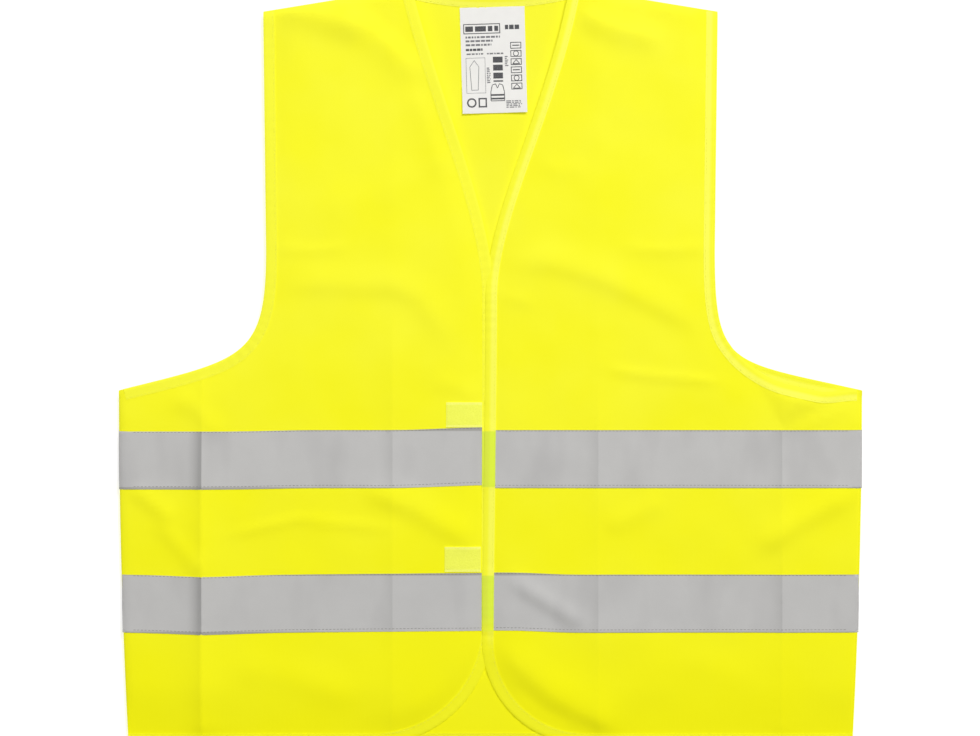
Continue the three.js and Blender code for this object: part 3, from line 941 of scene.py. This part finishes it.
bind("back_neck_tape", back_neck_edge(), back_height, False, ["back_neck_binding"])
back_hem = straight(hem_corner * [-1, 1], hem_corner)[1:-1]
bind("back_hem_tape", back_hem, back_height, False, ["back_hem_binding"])
for side, front in fronts.items():
    word, flip = WORD[side], side == RIGHT
    bind(word + "_armhole_back_tape", armhole_edge(side), back_height, flip, [word + "_armhole_back_binding"])
    bind(word + "_armhole_front_tape", front_armhole(side)[1:], front.height, flip,
         [word + "_armhole_front_binding"])
    bind(word + "_front_tape", join(front_edge(side), front_hem(side)), front.height, flip,
         [word + "_front_edge_binding", word + "_front_hem_binding"], side)


# ---- Reflective bands ----
# Two grey bands of tape covered with tiny glass beads, sewn round the body on the outside: across the back,
# round both sides and over the fronts, with both long edges stitched and the ends caught under the binding.

BAND_LIFT = CLOTH / 2 + 0.17 * MM + TAPE / 2
BAND_END = 7.6 * MM  # a band stops this far inside the front's edge, under the binding
TOP_STITCH = 0.7 * MM  # from a band's top edge down to its upper row of stitches
BOTTOM_STITCH = 2.4 * MM  # from its bottom edge up to the lower row


def bead_group():
    """The grain of a glass-bead coating: fine sparkle over a soft unevenness. Tone is 0 to 1."""
    inputs = [("Map", "NodeSocketVector", None), ("Grain", "NodeSocketFloat", 2200.0)]
    group, start, end = new_group("bead_coat", inputs, ["Tone", "Height"])
    nodes = Nodes(group)
    place = start.outputs["Map"]
    beads = nodes.add("ShaderNodeTexVoronoi", {"Vector": place, "Scale": start.outputs["Grain"]}).outputs[0]
    weave = nodes.waves(place, 420.0, 0.8, "Y")
    tone = nodes.weighted((beads, 0.25), (nodes.noise(place, 38.0, 4.0), 0.6), (weave, 0.15))
    group.links.new(tone, end.inputs["Tone"])
    group.links.new(nodes.weighted((beads, 0.5), (weave, 0.5)), end.inputs["Height"])
    return group


def reflective_material():
    """Silver-grey bead tape with painted shade in soft diagonal streaks and beside each packing crease, and
    dark along its sewn edges.
    """
    paint = Paint("reflective_tape", 0.5, 0.4)
    coat = paint.add("ShaderNodeGroup", {"Map": paint.where}, node_tree=bead_group())
    plain = paint.mix(coat.outputs["Tone"], (0.50, 0.493, 0.482), (0.58, 0.573, 0.56))
    x, y = paint.part(paint.where, 0), paint.part(paint.where, 1)
    turn = {"Vector": paint.where, "Rotation": (0, 0, 0.5), "Scale": (1.0, 0.4, 1.0)}
    # Painted shade: soft diagonal streaks where the tape is darker.
    streaks = paint.noise(paint.add("ShaderNodeMapping", turn).outputs[0], 26.0, 2.0)
    shade_and_dark_edges = paint.mix(paint.span(streaks, 0.5, 0.75, 0.0, 0.45), plain, (0.43, 0.42, 0.415))
    for low, high in band_rows:
        middle, half = (low + high) / 2, (high - low) / 2
        away = paint.maths("ABSOLUTE", paint.maths("SUBTRACT", y, middle))
        inside = paint.maths("LESS_THAN", away, half + 4 * MM)
        edge = paint.span(away, half - 1.1 * MM, half - 0.2 * MM)
        mask = paint.maths("MULTIPLY", paint.maths("MULTIPLY", edge, inside), 0.55)
        shade_and_dark_edges = paint.mix(mask, shade_and_dark_edges, (0.24, 0.23, 0.20))
    # Painted shade on the side of each packing crease that faces away from the light.
    for crease_x, rise, _ in CREASE_RISE:
        before = paint.maths("POWER", paint.span(x, crease_x - 13 * MM, crease_x), 1.6)
        crease_shade = paint.maths("MULTIPLY", before, paint.maths("LESS_THAN", x, crease_x + 0.3 * MM))
        shade_and_dark_edges = paint.mix(paint.maths("MULTIPLY", crease_shade, 0.15 * rise), shade_and_dark_edges, (0.25, 0.245, 0.24))
    paint.link(shade_and_dark_edges, "Base Color")
    paint.bump(coat.outputs["Height"], 0.2, 0.08 * MM)
    paint.link(paint.span(coat.outputs["Tone"], 0.0, 1.0, 0.42, 0.58), "Roughness")
    return paint.material


bead_tape = reflective_material()
grey_thread = thread_material("grey_thread", (0.26, 0.25, 0.22), (0.14, 0.13, 0.10))


def drift(side, word, x):
    """How far each band strays from straight along its length, as it was sewn and as the cloth lies."""
    x = np.abs(x)
    if (side, word) == (RIGHT, "upper"):
        return 2.5 * MM * ease((90 * MM - x) / (90 * MM)) - 1.2 * MM * ease((x - 150 * MM) / (80 * MM))
    if (side, word) == (RIGHT, "lower"):
        sag = 1.8 * MM * np.exp(-(((x - 245 * MM) / (45 * MM)) ** 2))
        return 1.4 * MM * ease((200 * MM - x) / (200 * MM)) - sag
    if (side, word) == (LEFT, "lower"):
        return 1.8 * MM * ease((75 * MM - x) / (60 * MM))
    return 0 * x


def band_outline(side, word, end_x, side_x, low, high):
    """A band from the side to its inner end."""
    bottom = straight((end_x, low), (side_x, low), CELL)
    bottom[:, 1] += drift(side, word, bottom[:, 0])
    top = bottom[::-1] + [0, high - low]
    return join(bottom, straight(bottom[-1], top[0], 4 * MM), top, straight(top[-1], bottom[0], 4 * MM))[:-1]


def side_x_at(y):
    edge = side_edge()
    return float(np.interp(y, edge[:, 1], edge[:, 0]))


bands = {}
for word, (low, high) in zip(("upper", "lower"), band_rows):
    side_x = side_x_at((low + high) / 2)
    near_side = [inset(side_edge(), d) for d in SEAM_ROWS]
    edge_rows = [straight((-side_x, y), (side_x, y), 4 * MM) for y in (low + 1.6 * MM, high - 1.6 * MM)]
    outline = join(straight((-side_x, low), (side_x, low)), straight((side_x, low), (side_x, high)),
                   straight((side_x, high), (-side_x, high)), straight((-side_x, high), (-side_x, low)))[:-1]
    creases = [straight((-x + shift * MM, low), (-x + shift * MM, high), 4 * MM)
               for x in PACKING_CREASES for shift in (-3.5, 0, 3.5)]
    rows = near_side + [mirrored(row) for row in near_side] + edge_rows + creases
    points, triangles = cut_cloth(outline, rows)
    back_band = thin_solid(word + "_back_band", points, triangles, back_height, -BAND_LIFT, TAPE, bead_tape)
    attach(back_band, "root")
    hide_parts(word + "_band")
    bands[word + "_back"] = [back_band, (side_x * 2, high - low)]
    for side, front in fronts.items():
        end = front_edge_x(side, (low + high) / 2) + BAND_END
        outline = band_outline(side, word, end, side_x, low, high)
        rows = near_side + fold_rows(side, low, high) + [inset(outline, 1.6 * MM)]
        points, triangles = front.turn(*cut_cloth(outline, rows))
        name = f"{WORD[side]}_{word}_band"
        band = thin_solid(name, points, triangles, front.height, BAND_LIFT, TAPE, bead_tape)
        turn_between(band, side)
        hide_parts(f"{WORD[side]}_front_{word}_band")
        count = len(straight((end, low), (side_x, low), CELL))
        sewn = []
        for where, up in (("top", high - low - TOP_STITCH), ("bottom", BOTTOM_STITCH)):
            edge = (outline[:count] + [0, up])[:-2] * [side, 1]
            row = stitches(f"{name}_{where}_stitches", edge, STITCH_PITCH, front.height,
                           BAND_LIFT + TAPE / 2 + 0.05 * MM, grey_thread)
            turn_between(row, side)
            sewn.append(row)
        bands[f"{word}_{WORD[side]}"] = [band, (side_x - end, high - low), sewn]


# ---- Touch fasteners ----
# Two pairs of woven patches sewn flat beside the parting, one above each front band. The fuzzy loop halves
# are on the outside of the right front, and the hook halves inside the left one, so that they meet.

PATCH = 0.55 * MM
HALF_SELVEDGE = 8.6 * MM  # from a patch's middle to where its selvedge starts
BRISTLE = 0.07 * MM
SCATTER = 0.4  # how far a bristle is off its place, in millimetres
LOOP_CURL = [(-0.45, 0), (-0.4, 0.32), (0, 0.5), (0.42, 0.3), (0.5, 0)]
HOOK_CROOK = [(0, 0), (0, 0.45), (0.18, 0.62), (0.4, 0.5)]
LOOP_SHIFT = {"upper": 4.8 * MM, "lower": 3.5 * MM}  # the loop patches were sewn on this much nearer the edge


def fastener_material(name, colour, shade, rim):
    """Fuzzy or hooked tape on a woven ground, with a paler selvedge along the top and bottom."""
    paint = Paint(name, 0.85, 0.3)
    pile = paint.noise(paint.where, 1300.0, 4.0, Roughness=0.7)
    tufts = paint.add("ShaderNodeTexVoronoi", {"Vector": paint.where, "Scale": 620.0}).outputs[0]
    tone = paint.weighted((pile, 0.6), (tufts, 0.5))
    away = paint.maths("ABSOLUTE", paint.part(paint.where, 1))
    selvedge = paint.span(away, HALF_SELVEDGE, HALF_SELVEDGE + 0.6 * MM)
    paint.link(paint.mix(selvedge, paint.mix(tone, shade, colour), rim), "Base Color")
    paint.bump(tone, 0.6, 0.3 * MM)
    # Painted glow: emission that brightens the patches, though they are no lamp.
    paint.glow((0.95, 1.0, 0.1), 0.07)
    return paint.material


def tufts(name, centres, height, lift, shape, material):
    """Many small bent bristles. shape is a list of (sideways, up) points in millimetres along one bristle."""
    generator = random.Random(len(centres))
    verts, faces, maps, places = [], [], [], []
    for x, y in centres:
        turn = generator.uniform(0, 2 * math.pi)
        across = np.array([math.cos(turn), math.sin(turn)])
        beside = np.array([-across[1], across[0]])
        faces += tube_faces(len(verts), len(shape), 3)
        base = lift_of(height, x, y) + lift
        for along, up in shape:
            centre = np.array([x, y]) + across * along * MM
            for k in range(3):
                angle = k * 2 * math.pi / 3
                spot = centre + beside * math.cos(angle) * BRISTLE
                verts.append((*spot, base + up * MM + math.sin(angle) * BRISTLE))
                maps.append((along * MM, k * 0.2 * MM))
                places.append(spot)
    return make_object(name, verts, faces, material, {"flat": maps, "place": places}, sharp=80)


def lift_of(height, x, y):
    return float(height(np.array([[x, y]]))[0])


loop_tape = fastener_material("loop_tape", (0.91, 0.94, 0.13), (0.83, 0.87, 0.08), (0.93, 0.95, 0.20))
hook_tape = fastener_material("hook_tape", (0.86, 0.88, 0.20), (0.74, 0.77, 0.12), (0.92, 0.93, 0.26))
for kind, side, lift in (("loop", RIGHT, 1), ("hook", LEFT, -1)):
    for word in ("upper", "lower"):
        shift = LOOP_SHIFT[word] if kind == "loop" else 0
        low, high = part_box(f"{word}_{kind}_patch")
        low, high = (np.array(p[:2]) + [shift, 0] for p in (low, high))
        middle = (low + high) / 2
        corners = [low, (high[0], low[1]), high, (low[0], high[1]), low]
        outline = join(*(straight(a, b, 2 * MM) for a, b in zip(corners[:-1], corners[1:])))[:-1]
        rim = np.array([low + 0.8 * MM, high - 0.8 * MM])
        rows = [straight((rim[0, 0], y), (rim[1, 0], y), 2 * MM) for y in (rim[0, 1], rim[1, 1])]
        points, triangles = cut_cloth(outline, rows, 2.6 * MM)
        height = fronts[side].height
        offset = lift * (CLOTH / 2 + 0.12 * MM + PATCH / 2)  # lift is 1 on the front and -1 under it
        maps = {"flat": points - middle, "place": points}
        material = loop_tape if kind == "loop" else hook_tape
        patch = thin_solid(f"{word}_{kind}_tape", points, triangles, height, offset, PATCH, material, maps)
        step = 1.25 * MM if kind == "loop" else 1.6 * MM
        generator = random.Random(7)
        xs = np.arange(low[0] + 1.4 * MM, high[0] - 1.2 * MM, step)
        ys = np.arange(low[1] + 2.6 * MM, high[1] - 2.4 * MM, step)
        centres = [[place + generator.uniform(-SCATTER, SCATTER) * MM for place in (x, y)]
                   for x in xs for y in ys]
        shape = [(d, lift * u) for d, u in (LOOP_CURL if kind == "loop" else HOOK_CROOK)]
        pile = tufts(f"{word}_{kind}_pile", centres, height, offset + lift * PATCH * 0.4, shape, material)
        surface = offset + lift * (PATCH / 2)
        sewn = inset(outline, 1.1 * MM)
        sewing = stitches(f"{word}_{kind}_stitches", sewn, 2.6 * MM, height, surface, yellow_thread)
        for piece, slot in ((patch, "touch_fastener"), (pile, "touch_fastener"), (sewing, "sewing_thread")):
            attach(piece, WORD[side] + "_front")
        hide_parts(f"{word}_{kind}_patch")


# ---- Care label ----
# A white satin ribbon label, caught at its top under the back-neck binding and lying inside the back. Its
# printing is plain bars, boxes and rings that say nothing.

LABEL = 0.22 * MM
LABEL_TILT = math.radians(1.6)
label_low, label_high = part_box("care_label")
label_size = np.array([label_high[0] - label_low[0], label_high[1] - label_low[1]])
label_top = np.array([label_low[0], label_high[1]])


def on_label(u, v):
    """A point of the label, from shares of its width and length, with its slight tilt."""
    away = np.array([u, -v]) * label_size
    c, s = math.cos(LABEL_TILT), math.sin(LABEL_TILT)
    return label_top + [c * away[0] - s * away[1] - 0.6 * MM, s * away[0] + c * away[1] + 0.4 * MM]


def label_height(points):
    """The label lies on the back, its free corners lifted and its middle slightly bowed."""
    down = (label_top[1] - points[:, 1]) / label_size[1]
    across = (points[:, 0] - label_top[0]) / label_size[0] - 0.5
    rise = 0.75 * MM + 1.3 * MM * ease((down - 0.55) / 0.5) * (0.35 + 1.2 * np.abs(across + 0.1))
    return back_height(points) + rise + 0.3 * MM * np.sin(across * 7 + down * 4)


def label_material():
    """White satin ribbon, with fine weft lines and a faint sheen."""
    paint = Paint("label_satin", 0.5, 0.45)
    weft = paint.waves(paint.where, 900.0, 0.5, "Y")
    tone = paint.weighted((weft, 0.4), (paint.noise(paint.where, 120.0, 3.0), 0.6))
    paint.link(paint.mix(tone, (0.80, 0.785, 0.75), (0.88, 0.87, 0.84)), "Base Color")
    paint.bump(tone, 0.25, 0.05 * MM)
    paint.set("Sheen Weight", 0.15)
    return paint.material


def ink_material(name, colour, faded):
    """Printing ink, a little broken by the weave under it."""
    paint = Paint(name, 0.6, 0.5)
    spread = paint.span(paint.noise(paint.where, 1400.0, 2.0), 0.45, 0.75)
    paint.link(paint.mix(spread, colour, faded), "Base Color")
    return paint.material


label_satin = label_material()
across = np.linspace(0, 1, 20)
down = np.linspace(0, 1, 31)
label_edges = [on_label(u, 0) for u in across[:-1]] + [on_label(1, v) for v in down[:-1]]
label_edges += [on_label(u, 1) for u in across[:0:-1]] + [on_label(0, v) for v in down[:0:-1]]
label_outline = np.array(label_edges)[::-1]
points, triangles = cut_cloth(label_outline, [np.array([on_label(0.5, 0.5)])], 3 * MM)
maps = {"flat": points - label_top, "place": points}
label = thin_solid("care_label_ribbon", points, triangles, label_height, 0, LABEL, label_satin, maps)
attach(label, "label")
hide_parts("care_label")

INK_LIFT = LABEL / 2 + 0.05 * MM
INK = 0.04 * MM
LABEL_SHAPE = label_size[0] / label_size[1]  # its width as a share of its length


def printed(name, shapes, material):
    """Flat printed shapes on the label, each a closed outline in shares of the label's width and length."""
    verts, faces = [], []
    for shape in shapes:
        outline = np.array([on_label(u, v) for u, v in shape])
        if np.cross(outline[1] - outline[0], outline[2] - outline[1]) < 0:
            outline = outline[::-1]
        fine = join(*(straight(a, b, 4 * MM) for a, b in zip(outline, np.roll(outline, -1, axis=0))))[:-1]
        z = label_height(fine) + INK_LIFT
        first, count = len(verts), len(fine)
        verts += np.column_stack([fine, z]).tolist() + np.column_stack([fine, z - INK]).tolist()
        faces.append(tuple(range(first, first + count)))
        faces.append(tuple(reversed(range(first + count, first + 2 * count))))
        for i in range(count):
            k = (i + 1) % count
            faces.append((first + i, first + i + count, first + k + count, first + k))
    place = np.array(verts)[:, :2]
    piece = make_object(name, verts, faces, material, {"flat": place, "place": place})
    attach(piece, "label")
    return piece


def bar(u, v, width, depth):
    return [(u, v), (u + width, v), (u + width, v + depth), (u, v + depth)]


def frame_bars(u, v, width, depth, line):
    """The four sides of a plain box outline."""
    thin = line * LABEL_SHAPE
    return [bar(u, v, width, thin), bar(u, v + depth - thin, width, thin), bar(u, v, line, depth),
            bar(u + width - line, v, line, depth)]


def ring_bars(u, v, radius, line, count=16):
    """A ring made of short strokes."""
    strokes = []
    for i in range(count):
        a, b = (2 * math.pi * k / count for k in (i, i + 1))
        corners = ((a, radius), (b, radius), (b, radius - line), (a, radius - line))
        strokes.append([(u + r * math.cos(t), v + r * LABEL_SHAPE * math.sin(t)) for t, r in corners])
    return strokes


def small_lines(u, v, width, rows, pitch, depth, seed, gap=0.014):
    """Rows of short bars of uneven length, in place of small print."""
    generator = random.Random(seed)
    shapes = []
    for row in range(rows):
        at = u
        end = u + width * generator.uniform(0.75, 1)
        while at < end:
            length = min(generator.uniform(0.02, 0.075), end - at)
            if length > 0.008:
                shapes.append(bar(at, v + row * pitch, length, depth))
            at += length + gap
    return shapes


def outline_bars(corners, line):
    """The sides of a closed shape, each drawn as one stroke."""
    strokes = []
    for a, b in zip(corners, corners[1:] + corners[:1]):
        along = np.array([(b[0] - a[0]) / LABEL_SHAPE, b[1] - a[1]])
        along = along / np.linalg.norm(along) * line / 2
        dx, dy = -along[1], along[0] * LABEL_SHAPE
        strokes.append([(a[0] + dx, a[1] + dy), (b[0] + dx, b[1] + dy),
                        (b[0] - dx, b[1] - dy), (a[0] - dx, a[1] - dy)])
    return strokes


dark_ink = ink_material("dark_ink", (0.045, 0.045, 0.05), (0.15, 0.15, 0.16))
grey_ink = ink_material("grey_ink", (0.14, 0.14, 0.15), (0.30, 0.30, 0.31))
solid_marks = frame_bars(0.045, 0.155, 0.57, 0.095, 0.013)
solid_marks += [bar(u, 0.178, width, 0.05)
                for u, width in ((0.075, 0.12), (0.225, 0.17), (0.425, 0.07), (0.525, 0.06))]
solid_marks += [bar(u, 0.172, width, 0.042) for u, width in ((0.69, 0.05), (0.755, 0.07), (0.84, 0.07))]
solid_marks += small_lines(0.075, 0.388, 0.32, 1, 0.03, 0.022, 3, 0.01)
solid_marks += [bar(0.49, v, 0.15, depth)
                for v, depth in ((0.47, 0.055), (0.545, 0.055), (0.62, 0.055), (0.692, 0.014))]
solid_marks += [bar(0.445, 0.822, 0.21, 0.016), bar(0.445, 0.856, 0.21, 0.016)]
solid_marks += ring_bars(0.145, 0.9, 0.075, 0.024) + frame_bars(0.25, 0.855, 0.13, 0.09, 0.022)
vest_body = [(0.47, 0.735), (0.52, 0.725), (0.55, 0.765), (0.58, 0.725), (0.63, 0.735), (0.655, 0.80),
             (0.655, 0.885), (0.445, 0.885), (0.445, 0.80)]
solid_marks += outline_bars(vest_body, 0.012)
printed("label_solid_marks", solid_marks, dark_ink)
small_marks = small_lines(0.075, 0.272, 0.66, 1, 0.03, 0.018, 4)
small_marks += small_lines(0.075, 0.308, 0.46, 2, 0.037, 0.018, 5)
small_marks += small_lines(0.085, 0.432, 0.27, 1, 0.03, 0.014, 6)
small_marks += small_lines(0.40, 0.432, 0.33, 1, 0.03, 0.014, 7)
small_marks += frame_bars(0.07, 0.475, 0.30, 0.335, 0.006)
small_marks += outline_bars([(0.13, 0.56), (0.20, 0.50), (0.27, 0.56), (0.25, 0.78), (0.15, 0.78)], 0.009)
small_marks += small_lines(0.68, 0.885, 0.28, 5, 0.015, 0.009, 8)
small_marks += small_lines(0.39, 0.57, 0.06, 9, 0.017, 0.010, 9)
small_marks += small_lines(0.675, 0.465, 0.055, 6, 0.017, 0.010, 10)
printed("label_fine_marks", small_marks, grey_ink)
CARE_MARKS = 6
care_marks = []
for row in range(CARE_MARKS):
    left, top, wide, deep = 0.765, 0.335 + row * 0.077, 0.17, 0.062
    middle = (left + wide / 2, top + deep / 2)
    care_marks += frame_bars(left, top, wide, deep, 0.012)
    if row % 3 == 0:
        care_marks += [bar(left + 0.03, middle[1] - 0.005, wide - 0.06, 0.010)]
    elif row % 3 == 1:
        care_marks += ring_bars(*middle, 0.045, 0.012)
    else:
        care_marks += outline_bars([(middle[0], top + 0.012), (left + wide - 0.03, top + deep - 0.012),
                                    (left + 0.03, top + deep - 0.012)], 0.012)
printed("label_care_marks", care_marks, dark_ink)


# ---- Cloth as cut ----
# Each front's flat size and each band's rows of stitches are worked out here, and nothing is done with them.

for side in (LEFT, RIGHT):
    word = WORD[side]
    flat = (underarm[0] - FRONT_EDGE[side], neck_y - hem_y)
for key, (band, flat, *sewn) in bands.items():
    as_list(sewn[0] if sewn else ())


# ---- Floor, lights and camera ----
# A plain white studio floor, a large soft lamp above the neck end, a wide overhead softbox and a pale
# surround. The camera looks straight down.


def floor_material():
    paint = Paint("studio_floor", 0.9, 0.1)
    cloud = paint.noise(paint.where, 3.0, 2.0)
    paint.link(paint.mix(cloud, (0.60, 0.60, 0.60), (0.63, 0.63, 0.63)), "Base Color")
    paint.glow((1, 1, 1), 0.58)
    return paint.material


FLOOR_HALF = 12.0  # metres from its middle to each side
corners = [(u * FLOOR_HALF, v * FLOOR_HALF) for u, v in ((-1, -1), (1, -1), (1, 1), (-1, 1))]
floor_level = cad_low[2] - 0.2 * MM
verts = [(x, y, floor_level) for x, y in corners]
floor = make_object("studio_floor", verts, [(0, 1, 2, 3)], floor_material(), {"flat": np.array(corners)})


def softbox(name, place, size, power):
    """A rectangular lamp that points at the middle of the vest. size is in metres and power in watts."""
    light = bpy.data.lights.new(name, "AREA")
    light.shape = "RECTANGLE"
    light.size, light.size_y = size
    light.energy = power
    lamp = bpy.data.objects.new(name, light)
    lamp.location = place
    lamp.rotation_euler = (-Vector(place)).to_track_quat("-Z", "Y").to_euler()
    bpy.context.collection.objects.link(lamp)


softbox("neck_end_lamp", (1.4, 2.9, 3.2), (1.5, 1.1), 160)
softbox("overhead_softbox", (-0.9, -0.1, 2.4), (2.4, 2.4), 14)
world = bpy.data.worlds.new("studio")
world.use_nodes = True
surround = world.node_tree.nodes["Background"]
surround.inputs["Color"].default_value = (1.0, 1.0, 1.0, 1)
surround.inputs["Strength"].default_value = 0.26
bpy.context.scene.world = world
bpy.context.scene.view_settings.view_transform = "Standard"

SENSOR = 36.0
LENS = 84.9
FRAME_WIDTH = 0.8477  # how much the camera sees from side to side, in metres, at the height of the fronts
AIM_HEIGHT = 8 * MM
camera_data = bpy.data.cameras.new("camera")
camera_data.sensor_width = SENSOR
camera_data.lens = LENS
camera = bpy.data.objects.new("camera", camera_data)
camera.location = (-0.4 * MM, -1.7 * MM, FRAME_WIDTH * LENS / SENSOR + AIM_HEIGHT)
bpy.context.collection.objects.link(camera)
bpy.context.scene.camera = camera
